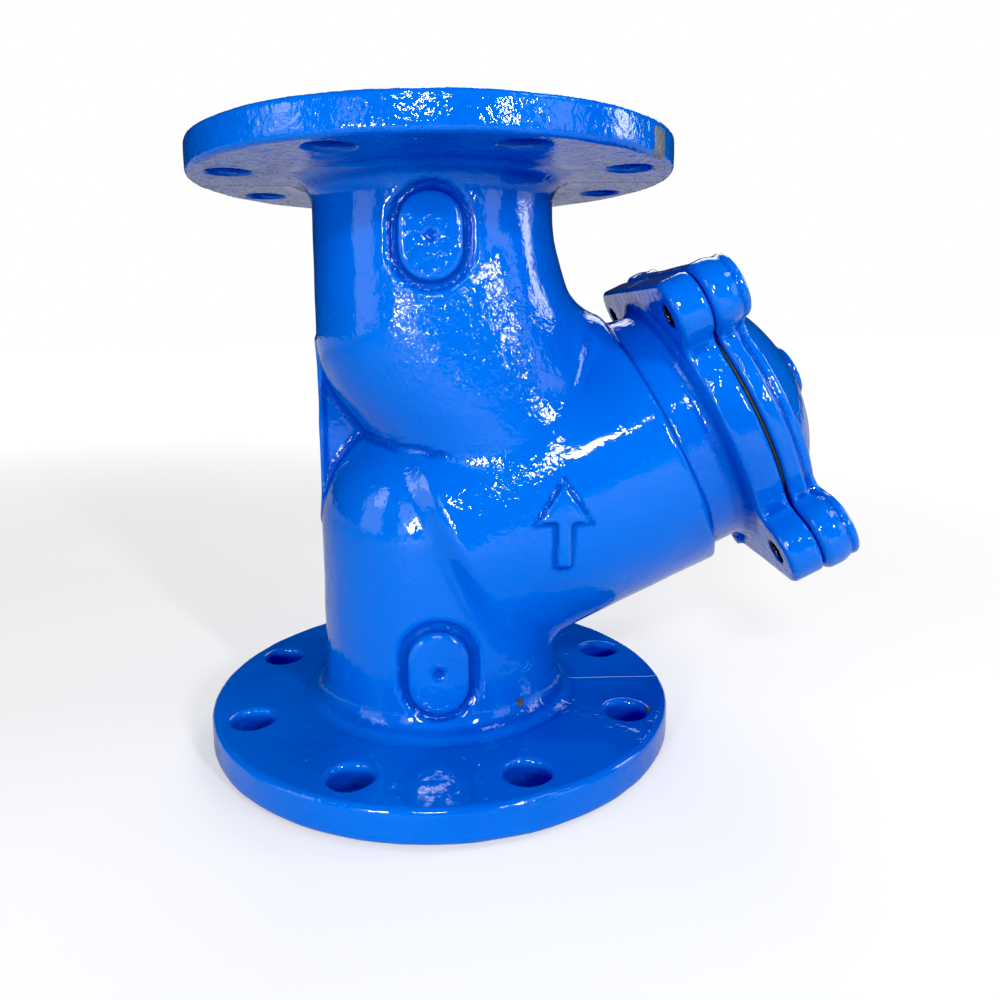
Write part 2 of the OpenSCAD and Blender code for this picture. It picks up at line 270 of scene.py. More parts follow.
def casting_inside(x, y, z):
    """The flow passages, the screen chamber and its seat."""
    rho = np.hypot(x, y)
    t, u = branch_axes(x, z)
    around = np.hypot(u, y)
    inlet = np.hypot(rho, np.maximum(z - INLET_DOME_Z, 0.0)) - BORE_R
    cup = disc(around, t, CHAMBER_R - 0.5, SEAT_T + 0.5, PAST_END_T, 1.0)
    inlet = cut(cut(inlet, cup, 2.0), PARTITION[0] - z, 2.0)
    outlet = np.hypot(rho, np.maximum(OUTLET_BEND_Z - z, 0.0)) - BORE_R
    outlet = np.minimum(outlet, rod(x, y, z, (0.0, OUTLET_BEND_Z), FALL, 30.0, BORE_R - 1.5))
    outlet = cut(outlet, z - PARTITION[1], 2.0)
    chamber = disc(around, t, CHAMBER_BORE_R, CHAMBER_T, STEP_T + 2.0, 2.0)
    chamber = np.minimum(chamber, disc(around, t, NECK_BORE_R, STEP_T - 2, PAST_END_T, 0.2))
    seat = disc(around, t, SEAT_POCKET_R, CHAMBER_T - 3, CHAMBER_T + 1, 0.1)
    seat = np.minimum(seat, disc(around, t, SEAT_OPENING_R, SEAT_T - 30, CHAMBER_T + 2, 0.1))
    return np.minimum(np.minimum(inlet, join(outlet, chamber, 3.0)), seat)


def casting_holes(x, y, z):
    """Bolt holes in the pipe flanges and screw holes in the cover flange."""
    rho = np.hypot(x, y)
    low_z = np.minimum(z, FACE_TO_FACE - z)
    sector = 2 * math.pi / BOLT_COUNT
    angle = np.mod(np.arctan2(y, x), sector) - sector / 2
    bolt = np.hypot(rho * np.cos(angle) - BOLT_CIRCLE_R, rho * np.sin(angle)) - BOLT_HOLE_R
    bolt = np.maximum(bolt, low_z - RAISED_H - FLANGE_T - 6)
    t, u = branch_axes(x, z)
    screw = np.hypot(np.abs(u) - EAR, np.abs(y) - EAR) - SCREW_HOLE_R
    screw = np.maximum(screw, FLANGE_BACK_T - 8 - t)
    return bolt, screw


def screw_threads(x, y, z):
    """Distance to the walls of the tapped holes behind the cover joint."""
    return casting_holes(x, y, z)[1]


def casting(x, y, z):
    """Distance to the body's surface, negative in the metal."""
    bolt, screw = casting_holes(x, y, z)
    body = cut(casting_outside(x, y, z), casting_inside(x, y, z), FINE_EDGE)
    return cut(cut(body, bolt, 1.0), screw, 0.6)


# ---------------------------------------------------------------- meshing

def mesh_field(field, low, high, voxel):
    """Points and faces of a distance field's surface inside a box, in millimetres."""
    counts = [int((b - a) / voxel) + 1 for a, b in zip(low, high)]
    axes = [low[i] + voxel * np.arange(counts[i], dtype=np.float32) for i in range(3)]
    y, z = np.meshgrid(axes[1], axes[2], indexing="ij")
    values = np.empty(counts, np.float32)
    for i, x in enumerate(axes[0]):
        values[i] = field(np.full_like(y, x), y, z)
    limit = 3.0 * voxel
    np.clip(values, -limit, limit, out=values)
    grid = openvdb.FloatGrid(limit)
    grid.copyFromArray(values)
    points, _, quads = grid.convertToPolygons(isovalue=0.0)
    return points.astype(np.float64) * voxel + np.array(low), quads[:, ::-1].tolist()


def slope(field, p, step=0.05):
    """Unit outward direction of a field at points p."""
    g = np.empty_like(p)
    for axis in range(3):
        a, b = p.copy(), p.copy()
        a[:, axis] += step
        b[:, axis] -= step
        g[:, axis] = field(*a.T) - field(*b.T)
    return g / np.maximum(np.linalg.norm(g, axis=1, keepdims=True), 1e-9)


def settle(field, p, rounds=3):
    """Moves points onto the field's exact surface."""
    for _ in range(rounds):
        p = p - slope(field, p) * np.clip(field(*p.T), -0.8, 0.8)[:, None]
    return p


def noise(p, size, seed):
    """Smooth random values from -1 to 1 at points p; size is the distance between bumps."""
    lattice = np.random.default_rng(seed).uniform(-1.0, 1.0, (64, 64, 64))
    q = p / size
    cell = np.floor(q).astype(np.int64)
    f = q - cell
    f = f * f * (3.0 - 2.0 * f)
    total = np.zeros(len(p))
    for corner in np.ndindex(2, 2, 2):
        weight = np.prod(np.where(corner, f, 1.0 - f), axis=1)
        i = (cell + corner) % 64
        total += weight * lattice[i[:, 0], i[:, 1], i[:, 2]]
    return total


def bend_of(field, p, reach=2.5):
    """How sharply the surface bends at p: positive on outside edges, negative in fillets."""
    total = -6.0 * field(*p.T)
    for axis in range(3):
        for side in (-reach, reach):
            q = p.copy()
            q[:, axis] += side
            total += field(*q.T)
    return total / reach ** 2


def new_piece(name, points, faces, body, slot, *replaced, smooth=True):
    """A mesh piece from points in millimetres, riding on a CAD body."""
    mesh = bpy.data.meshes.new(name)
    mesh.from_pydata((np.asarray(points) * MM).tolist(), [], faces)
    mesh.validate()
    if smooth:
        mesh.shade_smooth()
    else:
        mesh.shade_flat()
    piece = bpy.data.objects.new(name, mesh)
    bpy.context.scene.collection.objects.link(piece)
    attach(piece, body)
    if replaced:
        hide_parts(*replaced)
    return piece


def cast_skin(field, points):
    """How hollow and how rough a casting's skin is at each point, both from 0 to 1."""
    x, y, z = points.T
    hollow = smooth_step(-bend_of(field, points), 0.02, 0.14)
    patchy = smooth_step(noise(points, 38.0, 3), -0.25, 0.45)
    end_gap = np.minimum(z, FACE_TO_FACE - z)
    # Coarsest on the pipe flanges, more so on the upper one, and on the bend of the outlet
    on_rim = smooth_step(np.hypot(x, y), 66.0, 74.0) * smooth_step(z, 20.0, 250.0)
    on_rim *= 1.0 - smooth_step(end_gap, 17.0, 21.0)
    on_bend = smooth_step(z, 148.0, 170.0) * (1.0 - smooth_step(z, 205.0, 230.0))
    on_bend *= smooth_step(x, -30.0, -12.0) * (1.0 - smooth_step(x, 30.0, 50.0))
    # Smoother out along the branch and on the lower flange
    even = 1.0 - 0.4 * smooth_step(x, 45.0, 80.0) - 0.35 * (1.0 - smooth_step(z, 15.0, 25.0))
    rough = even * (0.06 + 0.5 * patchy + 0.6 * hollow) + 0.4 * (on_rim + on_bend)
    return hollow, np.clip(rough, 0.0, 1.0)


def cast_piece(name, field, thread, low, high, voxel, body, slot, node):
    """A sand casting under thick paint: the exact field, plus the small waves a mould leaves."""
    points, faces = mesh_field(field, low, high, voxel)
    points = settle(field, points)
    hollow, rough = cast_skin(field, points)
    waves = 0.22 * noise(points, 12.0, 5) + 0.16 * rough * noise(points, 4.2, 7)
    waves += 0.14 * hollow * noise(points, 3.0, 11) - 0.05
    end_gap = np.minimum(points[:, 2], FACE_TO_FACE - points[:, 2])
    waves *= smooth_step(end_gap, 0.6, 2.4)
    points = points + slope(field, points) * waves[:, None]
    piece = new_piece(name, points, faces, body, slot, node)
    # Tapped hole walls: bare thread, whose near-black colour is also painted shade inside the holes
    bare_thread_and_shade = smooth_step(-np.abs(thread(*points.T)), -0.9, -0.4)
    for label, values in (("hollow", hollow), ("rough_cast", rough), ("thread", bare_thread_and_shade)):
        layer = piece.data.attributes.new(label, "FLOAT", "POINT")
        layer.data.foreach_set("value", values.astype(np.float32))
    return piece


# ---------------------------------------------------------------- the cover

SPIGOT_H = 6.2
COVER_EDGE_H = 7.5
COVER_PLATE_H = 13.3
EAR_H = 14.8
COUNTERBORE_R = 8.75
COUNTERBORE_DEPTH = 9.5
DOME_H = 35.8
DOME_R = 75.0
DOME_WALL = 8.0
DOME_HOLLOW_R = 46.0
PLUG_SEAT_H = 34.1
PLUG_SPOT_R = 13.0
PLUG_BOSS_R = 16.0
DOME_CENTRE_T = COVER_T + DOME_H - DOME_R
EAR_TOP_T = COVER_T + EAR_H
WASHER_T = EAR_TOP_T - COUNTERBORE_DEPTH
PLUG_SEAT_T = COVER_T + PLUG_SEAT_H


def cover_casting(x, y, z):
    """Distance to the cover's surface."""
    t, u = branch_axes(x, z)
    around = np.hypot(u, y)
    ear = np.hypot(np.abs(u) - EAR, np.abs(y) - EAR)
    plate = slab(joint_outline(u, y), t, COVER_T, COVER_T + COVER_EDGE_H, 1.8)
    upper = np.minimum(around - WAIST_R + 2.6, rectangle(u, y, EAR + EAR_R - 2.5, EAR - 2.5))
    plate = join(plate, slab(upper, t, COVER_T, COVER_T + COVER_PLATE_H, RIM_EDGE), 1.5)
    lip = 0.55 * np.exp(-((t - EAR_TOP_T + 3.6) / 0.9) ** 2)
    boss = disc(ear + lip, t, EAR_R, COVER_T, EAR_TOP_T, 2.4)
    dome = np.maximum(np.hypot(around, t - DOME_CENTRE_T) - DOME_R, COVER_T + 4 - t)
    outside = join(join(plate, boss, 4.0), dome, 3.0)
    spigot = disc(around, t, NECK_BORE_R - 0.5, COVER_T - SPIGOT_H, COVER_T + 2, 0.6)
    outside = np.minimum(outside, spigot)
    hollow = np.hypot(around, t - DOME_CENTRE_T) - DOME_R + DOME_WALL
    hollow = np.maximum(hollow, around - DOME_HOLLOW_R)
    plug_boss = disc(around, t, PLUG_BOSS_R, PLUG_SEAT_T - 16.0, PLUG_SEAT_T + 9, 1.0)
    hollow = cut(hollow, plug_boss, 1.0)
    metal = cut(outside, np.maximum(hollow, COVER_T - 12.0 - t), FINE_EDGE)
    metal = cut(metal, around - PLUG_HOLE_R, 0.4)
    metal = cut(metal, disc(around, t, PLUG_SPOT_R, PLUG_SEAT_T, PLUG_SEAT_T + 40, 0.2), 0.5)
    metal = cut(metal, disc(ear, t, COUNTERBORE_R, WASHER_T, EAR_TOP_T + 9, 0.2), 0.9)
    return cut(metal, ear - SCREW_CLEARANCE_R, 0.4)


def plug_thread(x, y, z):
    """Distance to the wall of the tapped hole for the drain plug."""
    t, u = branch_axes(x, z)
    return np.maximum(np.hypot(u, y) - PLUG_HOLE_R, t - PLUG_SEAT_T + 1.5)


# ---------------------------------------------------------------- turned pieces

def on_branch(points, t=0.0, u=0.0, v=0.0):
    """Points of a piece built round Z, set with Z along the branch and X on its upper side."""
    p = np.asarray(points, float)
    root = np.array([0.0, 0.0, ROOT_Z]) + OUT * t + UP * u + np.array([0.0, v, 0.0])
    return root + p[:, 2:3] * OUT + p[:, 0:1] * UP - p[:, 1:2] * np.array([0.0, 1.0, 0.0])


def spun(rows, count):
    """A closed solid from rings of points. Each row is (height, radius); radius may be an array."""
    angle = 2 * math.pi * np.arange(count) / count
    points, faces = [], []
    for height, radius in rows:
        r = np.broadcast_to(radius, count)
        h = np.broadcast_to(height, count)
        points += list(zip(r * np.cos(angle), r * np.sin(angle), h))
    for row in range(len(rows) - 1):
        for k in range(count):
            a, b = row * count + k, row * count + (k + 1) % count
            faces.append((a, b, b + count, a + count))
    for row, flip in ((0, True), (len(rows) - 1, False)):
        centre = len(points)
        points.append((0.0, 0.0, float(np.mean(np.broadcast_to(rows[row][0], count)))))
        for k in range(count):
            a, b = row * count + k, row * count + (k + 1) % count
            faces.append((b, a, centre) if flip else (a, b, centre))
    return np.array(points), faces


def hexagon(key, count):
    """Radius of a hexagon with that key size at each of count directions."""
    angle = 2 * math.pi * np.arange(count) / count
    return key / 2 / np.cos(np.mod(angle, math.pi / 3) - math.pi / 6)


def thread_rows(bottom, top, crest, depth, pitch, count, step=0.25):
    """Rows of a helical thread; it fades in over its first turn."""
    angle = np.arange(count) / count
    rows = [(bottom, crest - depth - 0.3)]
    for h in np.arange(bottom + 0.4, top - 0.01, step):
        phase = np.mod(h / pitch - angle, 1.0)
        ridge = np.clip(1.6 * (1.0 - np.abs(2.0 * phase - 1.0)) - 0.3, 0.0, 1.0)
        fade = min(1.0, (h - bottom) / pitch) * min(1.0, (top - h) / 0.8)
        rows.append((h, crest - depth + depth * ridge * fade))
    return rows


def socket_rows(top, rim, key, depth, count):
    """The end face of a socket head: its chamfer, flat and hexagonal hole."""
    hexed = hexagon(key, count)
    return [(top - 0.6, rim), (top, rim - 0.6), (top, hexed + 0.35), (top - 0.35, hexed),
            (top - depth, hexed), (top - depth - 0.6, 0.5)]


def cover_screw(index, u, v):
    """M10 low-head socket screw with a knurled head."""
    count = 96
    knurl = 8.0 - 0.16 * np.abs(np.sin(np.arange(count) * math.pi / 3))
    rows = thread_rows(-20.0, -1.0, 4.95, 0.75, 1.5, count)
    rows += [(-0.9, 4.3), (0.0, 4.3), (0.0, 7.5), (0.5, 7.9), (0.9, knurl), (6.0, knurl)]
    rows += socket_rows(7.0, 7.9, 7.0, 3.6, count)
    points, faces = spun(rows, count)
    placed = on_branch(points, WASHER_T + 2.2, u, v)
    name = f"cover_screw_{index}"
    return new_piece(f"socket_screw_{index}", placed, faces, f"screw_{index}", "zinc_plate", name)


def drain_plug():
    """G1/2 plug with a collar, painted over with the cover."""
    count = 96
    rows = thread_rows(-13.0, -1.2, 10.35, 0.9, 1.814, count)
    rows += [(-1.1, 9.4), (0.0, 9.4), (0.0, 12.2), (0.4, 12.5), (2.6, 12.5), (3.1, 12.3), (3.4, 11.8)]
    rows += [(3.5, 11.0)] + socket_rows(3.5, 10.5, 10.0, 7.5, count)[2:]
    points, faces = spun(rows, count)
    placed = on_branch(points, PLUG_SEAT_T + 1.0)
    return new_piece("collar_plug", placed, faces, "plug", "blue_epoxy_plug", "drain_plug")


def ring(name, inner, outer, low, high, edge, body, slot, node, count=128):
    """A flat ring or band with softened corners."""
    e = edge
    loop = [(inner + e, low), (outer - e, low), (outer, low + e), (outer, high - e),
            (outer - e, high), (inner + e, high), (inner, high - e), (inner, low + e)]
    angle = 2 * math.pi * np.arange(count) / count
    points = [(r * math.cos(a), r * math.sin(a), h) for a in angle for r, h in loop]
    size = len(loop)
    faces = []
    for k in range(count):
        for j in range(size):
            a, b = k * size + j, k * size + (j + 1) % size
            c, d = (k + 1) % count * size + (j + 1) % size, (k + 1) % count * size + j
            faces.append((a, d, c, b))
    return new_piece(name, on_branch(points), faces, body, slot, node, smooth=False)


# ---------------------------------------------------------------- the screen

SCREEN_LOW_T = CHAMBER_T - 3.0
SCREEN_HIGH_T = COVER_T - SPIGOT_H - 0.2
SCREEN_R = 45.6
SHEET_T = 1.0
BAND_H = 10.0


def rolled(flat, t_low):
    """Wraps flat points (arc length, height, depth inwards) round the screen's axis."""
    radius = SCREEN_R - flat[:, 2]
    angle = flat[:, 0] / SCREEN_R
    return on_branch(np.column_stack([radius * np.cos(angle), radius * np.sin(angle), flat[:, 1]]),
                     t_low)


def perforated_tube():
    """The rolled sheet: staggered round holes, each cut right through, and plain ends."""
    across, pitch_h, hole_r = 60, 4.16, 1.5
    rows = int((SCREEN_HIGH_T - SCREEN_LOW_T - 2 * BAND_H) / pitch_h)
    pitch = 2 * math.pi * SCREEN_R / across
    edge = [(-2, -1), (-1, -1), (0, -1), (1, -1), (2, -1), (2, 0),
            (2, 1), (1, 1), (0, 1), (-1, 1), (-2, 1), (-2, 0)]
    rim = np.array([(a * pitch / 4, b * pitch_h / 2) for a, b in edge])
    turn = np.arctan2(rim[:, 1], rim[:, 0])
    hole = hole_r * np.column_stack([np.cos(turn), np.sin(turn)])
    start = (SCREEN_HIGH_T - SCREEN_LOW_T - rows * pitch_h) / 2
    flat, faces = [], []
    for row in range(rows):
        for k in range(across):
            centre = np.array([(k + 0.5 * (row % 2)) * pitch, start + (row + 0.5) * pitch_h])
            base = len(flat)
            for depth in (0.0, SHEET_T):
                for ringed in (rim, hole):
                    flat += [(p[0], p[1], depth) for p in centre + ringed]
            for j in range(12):
                n = (j + 1) % 12
                faces.append((base + j, base + n, base + 12 + n, base + 12 + j))
                faces.append((base + 24 + n, base + 24 + j, base + 36 + j, base + 36 + n))
                faces.append((base + 12 + j, base + 12 + n, base + 36 + n, base + 36 + j))
    columns = across * 4
    height = SCREEN_HIGH_T - SCREEN_LOW_T
    for low, high, outer_edge in ((0.0, start, 0), (height - start, height, 1)):
        base = len(flat)
        for h in (low, high):
            for depth in (0.0, SHEET_T):
                flat += [(c * pitch / 4, h, depth) for c in range(columns)]
        for c in range(columns):
            n = (c + 1) % columns
            a, b, d, e = (base + i * columns for i in range(4))
            faces.append((a + c, a + n, d + n, d + c))
            faces.append((b + n, b + c, e + c, e + n))
            end = (b, a) if outer_edge == 0 else (d, e)
            faces.append((end[0] + c, end[0] + n, end[1] + n, end[1] + c))
    flat = np.array(flat)
    flat[:, 0] = np.mod(flat[:, 0], 2 * math.pi * SCREEN_R)
    piece = new_piece("perforated_tube", rolled(flat, SCREEN_LOW_T), faces, "screen",
                      "stainless_sheet", "screen_tube", smooth=False)
    mesh = bmesh.new()
    mesh.from_mesh(piece.data)
    bmesh.ops.remove_doubles(mesh, verts=mesh.verts, dist=2e-6)
    bmesh.ops.recalc_face_normals(mesh, faces=mesh.faces)
    mesh.to_mesh(piece.data)
    mesh.free()
    return piece


def swept(paths, radius, closed, sides=4):
    """Round wires along many paths of equal length, as one set of points and faces."""
    paths = np.asarray(paths, float)
    following = np.roll(paths, -1, axis=1) - np.roll(paths, 1, axis=1)
    if not closed:
        following[:, 0] = paths[:, 1] - paths[:, 0]
        following[:, -1] = paths[:, -1] - paths[:, -2]
    following /= np.linalg.norm(following, axis=2, keepdims=True)
    outward = paths.copy()
    outward[:, :, 2] = 0.0
    outward /= np.linalg.norm(outward, axis=2, keepdims=True)
    side = np.cross(following, outward)
    side /= np.linalg.norm(side, axis=2, keepdims=True)
    outward = np.cross(side, following)
    turn = 2 * math.pi * np.arange(sides) / sides
    points = (paths[:, :, None] + radius * (np.cos(turn)[:, None] * outward[:, :, None]
                                            + np.sin(turn)[:, None] * side[:, :, None]))
    wires, length = paths.shape[:2]
    faces = []
    for w in range(wires):
        base = w * length * sides
        for i in range(length if closed else length - 1):
            a, b = base + i * sides, base + (i + 1) % length * sides
            for j in range(sides):
                n = (j + 1) % sides
                faces.append((a + j, a + n, b + n, b + j))
        if not closed:
            faces.append(tuple(base + j for j in reversed(range(sides))))
            faces.append(tuple(base + (length - 1) * sides + j for j in range(sides)))
    return points.reshape(-1, 3), faces


def woven_lining():
    """Plain weave of round wires just inside the perforated tube."""
    pitch, wire_r, wave = 2.1, 0.16, 0.15
    radius = SCREEN_R - SHEET_T - 0.36
    height = SCREEN_HIGH_T - SCREEN_LOW_T - 1.0
    around = 2 * int(math.pi * radius / pitch)
    along = int(height / pitch)
    angle = 2 * math.pi * np.arange(around) / around
    level = 0.5 + pitch * (np.arange(along) + 0.5)
    uprights, hoops = [], []
    for k, a in enumerate(angle):
        r = radius + wave * np.where((np.arange(along) + k) % 2, 1.0, -1.0)
        uprights.append(np.column_stack([r * math.cos(a), r * math.sin(a), level]))
    for row, h in enumerate(level):
        r = radius - wave * np.where((np.arange(around) + row) % 2, 1.0, -1.0)
        hoops.append(np.column_stack([r * np.cos(angle), r * np.sin(angle), np.full(around, h)]))
    first, first_faces = swept(uprights, wire_r, False)
    second, second_faces = swept(hoops, wire_r, True)
    offset = len(first)
    faces = first_faces + [tuple(i + offset for i in f) for f in second_faces]
    points = on_branch(np.vstack([first, second]), SCREEN_LOW_T)
    return new_piece("woven_lining", points, faces, "screen", "stainless_weave", "screen_lining")


def seam_strip():
    """The narrow sheet spot-welded over the seam, on the tube's lower side."""
    half_w, proud, edge, columns = 2.5, 0.75, 0.25, 8
    arc = math.pi * SCREEN_R + half_w * np.linspace(-1.0, 1.0, columns)
    profile = [(arc[0], 0.02), (arc[0], -proud + edge)] + [(a, -proud) for a in arc[1:-1]]
    profile += [(arc[-1], -proud + edge), (arc[-1], 0.02)]
    size = len(profile)
    levels = np.linspace(BAND_H + 0.2, SCREEN_HIGH_T - SCREEN_LOW_T - BAND_H - 0.2, 120)
    flat = np.array([(a, h, d) for h in levels for a, d in profile])
    spot = (np.abs(np.mod(flat[:, 1], 8.0) - 4.0) < 1.2) & (np.abs(flat[:, 0] - arc.mean()) < 0.8)
    flat[:, 2] += 0.22 * (spot & (flat[:, 2] < -proud + 0.1))
    faces = [(i * size + j, i * size + j + 1, (i + 1) * size + j + 1, (i + 1) * size + j)
             for i in range(len(levels) - 1) for j in range(size - 1)]
    faces += [tuple(range(size)), tuple(range(len(flat) - 1, len(flat) - size - 1, -1))]
    return new_piece("seam_strip", rolled(flat, SCREEN_LOW_T), faces, "screen",
                     "stainless_sheet", "screen_seam_strip", smooth=False)


def spring_washer(index, u, v):
    """A split ring of square wire; its two ends spread a little."""
    turns, height, inner, outer, spread = 72, 2.2, 5.3, 7.95, 0.25
    angle = np.linspace(0.09, 2 * math.pi - 0.09, turns)
    points, faces = [], []
    for k, a in enumerate(angle):
        rise = spread * (k / (turns - 1) - 0.5)
        low, high = max(0.0, rise) + 0.02, height + min(0.0, rise) - 0.02
        for r, h in ((inner, low), (outer - 0.3, low), (outer, low + 0.3), (outer, high - 0.3),
                     (outer - 0.3, high), (inner, high)):
            points.append((r * math.cos(a), r * math.sin(a), h))
    for k in range(turns - 1):
        for j in range(6):
            a, b = k * 6 + j, k * 6 + (j + 1) % 6
            faces.append((a, a + 6, b + 6, b))
    faces += [tuple(range(6)), tuple(range(turns * 6 - 1, turns * 6 - 7, -1))]
    placed = on_branch(points, WASHER_T, u, v)
    return new_piece(f"split_washer_{index}", placed, faces, f"washer_{index}", "zinc_plate",
                     f"spring_washer_{index}", smooth=False)


# ---------------------------------------------------------------- building the object

BODY_VOXEL = 1.5
COVER_VOXEL = 1.1
body_piece = cast_piece("cast_body", casting, screw_threads, (-112, -112, -3), (172, 112, 273),
                        BODY_VOXEL, "casting", "blue_epoxy_body", "body")
cover_piece = cast_piece("cast_cover", cover_casting, plug_thread, (85, -76, 55), (212, 76, 235),
                         COVER_VOXEL, "cover", "blue_epoxy_cover", "cover")
ear_places = ((1, EAR, -EAR), (2, EAR, EAR), (3, -EAR, EAR), (4, -EAR, -EAR))
screws = [cover_screw(*place) for place in ear_places]
washers = [spring_washer(*place) for place in ear_places]
plug_piece = drain_plug()
seal_piece = ring("copper_seal", 10.65, 12.2, PLUG_SEAT_T + 0.02, PLUG_SEAT_T + 0.98, 0.3,
                  "seal", "copper_ring", "plug_seal")
gasket_piece = ring("joint_gasket", 50.4, 62.6, FLANGE_FACE_T + 0.02, COVER_T - 0.02, 0.4,
                    "gasket", "nitrile", "cover_gasket")
tube_piece = perforated_tube()
lining_piece = woven_lining()
bands = [ring("seat_band", SCREEN_R + 0.02, SCREEN_R + 1.15, SCREEN_LOW_T, SCREEN_LOW_T + BAND_H,
              0.4, "screen", "stainless_sheet", "screen_seat_band"),
         ring("cover_band", SCREEN_R + 0.02, SCREEN_R + 1.15, SCREEN_HIGH_T - BAND_H, SCREEN_HIGH_T,
              0.4, "screen", "stainless_sheet", "screen_cover_band")]
strip_piece = seam_strip()


# ---------------------------------------------------------------- materials

class Nodes:
    """A small helper for wiring a node material."""

    def __init__(self, name):
        self.material = bpy.data.materials.new(name)
        self.material.use_nodes = True
        self.tree = self.material.node_tree
        self.shader = self.tree.nodes["Principled BSDF"]
        place = self.tree.nodes.new("ShaderNodeTexCoord")
        self.place = place.outputs["Object"]

    def put(self, socket, value):
        if isinstance(value, bpy.types.NodeSocket):
            self.tree.links.new(value, socket)
        else:
            socket.default_value = value

    def noise(self, scale, detail=3.0, roughness=0.5, vector=None, distortion=0.0):
        node = self.tree.nodes.new("ShaderNodeTexNoise")
        self.put(node.inputs["Vector"], vector or self.place)
        for label, value in (("Scale", scale), ("Detail", detail), ("Roughness", roughness),
                             ("Distortion", distortion)):
            self.put(node.inputs[label], value)
        return node.outputs["Fac"]

    def math(self, operation, a, b=0.0, c=0.0):
        node = self.tree.nodes.new("ShaderNodeMath")
        node.operation = operation
        for socket, value in zip(node.inputs, (a, b, c)):
            self.put(socket, value)
        return node.outputs[0]

    def fit(self, value, low, high, to_low=0.0, to_high=1.0):
        node = self.tree.nodes.new("ShaderNodeMapRange")
        node.interpolation_type = "SMOOTHSTEP"
        for label, number in (("Value", value), ("From Min", low), ("From Max", high),
                              ("To Min", to_low), ("To Max", to_high)):
            self.put(node.inputs[label], number)
        return node.outputs["Result"]

    def blend(self, factor, a, b):
        node = self.tree.nodes.new("ShaderNodeMix")
        node.data_type = "RGBA"
        self.put(node.inputs["Factor"], factor)
        self.put(node.inputs["A"], a)
        self.put(node.inputs["B"], b)
        return next(s for s in node.outputs if s.type == "RGBA")

    def attribute(self, label):
        node = self.tree.nodes.new("ShaderNodeAttribute")
        node.attribute_name = label
        return node.outputs["Fac"]

    def axis(self, label):
        node = self.tree.nodes.new("ShaderNodeSeparateXYZ")
        self.put(node.inputs[0], self.place)
        return node.outputs[label]

    def stretched(self, x, y, z, turn=(0.0, 0.0, 0.0)):
        node = self.tree.nodes.new("ShaderNodeMapping")
        self.put(node.inputs["Vector"], self.place)
        self.put(node.inputs["Scale"], (x, y, z))
        self.put(node.inputs["Rotation"], turn)
        return node.outputs["Vector"]

    def distance(self, point):
        node = self.tree.nodes.new("ShaderNodeVectorMath")
        node.operation = "DISTANCE"
        self.put(node.inputs[0], self.place)
        self.put(node.inputs[1], point)
        return node.outputs["Value"]

    def bump(self, height, strength, distance, normal=None):
        node = self.tree.nodes.new("ShaderNodeBump")
        for label, value in (("Height", height), ("Strength", strength), ("Distance", distance)):
            self.put(node.inputs[label], value)
        if normal is not None:
            self.put(node.inputs["Normal"], normal)
        return node.outputs["Normal"]

    def finish(self, **values):
        for label, value in values.items():
            self.put(self.shader.inputs[label.replace("_", " ")], value)
        return self.material


def wear(m, spots, ragged):
    """A mask of small damaged spots; each is a place in millimetres and a radius."""
    edge = m.fit(m.noise(900.0, 4.0, 0.65), 0.2, 0.8, -ragged * MM, ragged * MM)
    mask = 0.0
    for x, y, z, radius in spots:
        reach = m.math("ADD", m.distance((x * MM, y * MM, z * MM)), edge)
        here = m.fit(reach, (radius - 0.25) * MM, (radius + 0.1) * MM, 1.0, 0.0)
        mask = m.math("MAXIMUM", mask, here)
    return mask


def epoxy(name, bare_spots=(), rust_spots=()):
    """Thick glossy epoxy over a sand casting: orange peel, mould seam, a few chips, and painted shade in
    its hollows and tapped holes.
    """
    m = Nodes(name)
    hollow, rough = m.attribute("hollow"), m.attribute("rough_cast")
    # Random tone from a cloud, plus painted shade: the blue is darker in hollows and fillets
    cloud = m.noise(14.0, 2.0)
    tone_and_hollow_shade = m.fit(m.math("MULTIPLY_ADD", hollow, 0.45, cloud), 0.35, 1.0)
    colour = m.blend(tone_and_hollow_shade, (0.0, 0.130, 0.64, 1.0), (0.0, 0.062, 0.44, 1.0))
    gloss = m.fit(m.noise(60.0, 3.0), 0.3, 0.7, 0.05, 0.10)
    lumps = m.noise(230.0, 2.0, 0.5, distortion=0.6)
    scales = m.noise(520.0, 2.5, 0.55, distortion=0.4)
    seam = m.fit(m.math("ABSOLUTE", m.axis("Y")), 0.0, 0.8 * MM, 1.0, 0.0)
    normal = m.bump(seam, 0.35, 0.0004)
    normal = m.bump(lumps, m.math("MULTIPLY_ADD", rough, 0.5, 0.09), 0.0013, normal)
    normal = m.bump(scales, m.math("MULTIPLY_ADD", rough, 0.42, 0.02), 0.0007, normal)
    bare, rust = wear(m, bare_spots, 0.9), wear(m, rust_spots, 1.3)
    metal = m.blend(m.noise(1500.0, 2.0), (0.13, 0.155, 0.20, 1.0), (0.29, 0.34, 0.43, 1.0))
    oxide = m.blend(m.noise(1100.0, 3.0), (0.20, 0.11, 0.06, 1.0), (0.03, 0.02, 0.02, 1.0))
    colour = m.blend(bare, colour, metal)
    colour = m.blend(rust, colour, oxide)
    # Near black on the tapped hole walls: bare thread plus painted shade inside the holes
    colour = m.blend(m.attribute("thread"), colour, (0.012, 0.011, 0.012, 1.0))
    lost = m.math("MAXIMUM", bare, rust)
    normal = m.bump(m.math("SUBTRACT", 1.0, lost), 1.0, 0.00035, normal)
    coat = m.math("MULTIPLY", m.fit(hollow, 0.0, 1.0, 0.45, 0.2), m.math("SUBTRACT", 1.0, lost))
    return m.finish(Base_Color=colour, Metallic=m.math("MULTIPLY", bare, 0.7),
                    Roughness=m.math("MULTIPLY_ADD", lost, 0.35, gloss), Normal=normal,
                    Specular_IOR_Level=m.math("MULTIPLY_ADD", hollow, -0.12, 0.25), Coat_Weight=coat,
                    Coat_Roughness=0.03, Coat_IOR=1.5, Coat_Normal=normal)


